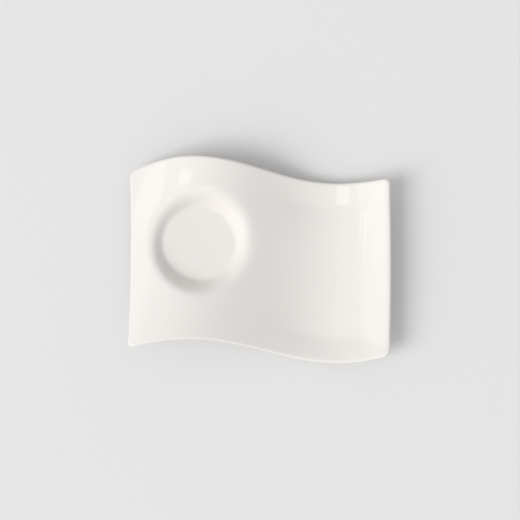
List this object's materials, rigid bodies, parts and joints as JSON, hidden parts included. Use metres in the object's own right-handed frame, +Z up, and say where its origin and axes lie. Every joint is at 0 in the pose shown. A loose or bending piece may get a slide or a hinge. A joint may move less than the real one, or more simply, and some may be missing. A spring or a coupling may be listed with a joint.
{
  "type": "saucer",
  "caption": "Oblong porcelain saucer bent in one wave, with a round sunken cup seat on the crest and a shallow lipped snack trough beside it, on a round and an oval foot.",
  "frame": {"origin": "on the table, under the middle of the outline's box", "axes": "+X along the length from the cup seat to the trough, +Y to the back edge, +Z up"},
  "size_m": [0.2192, 0.1738, 0.0335],
  "materials": {
    "bisque": "bare fired porcelain, matte",
    "glaze": "warm white gloss glaze"
  },
  "bodies": {
    "root": {"porcelain_body": "bisque", "glaze_coat": "glaze", "seat_recess_glaze": "glaze", "trough_recess_glaze": "glaze"}
  },
  "joints": []
}
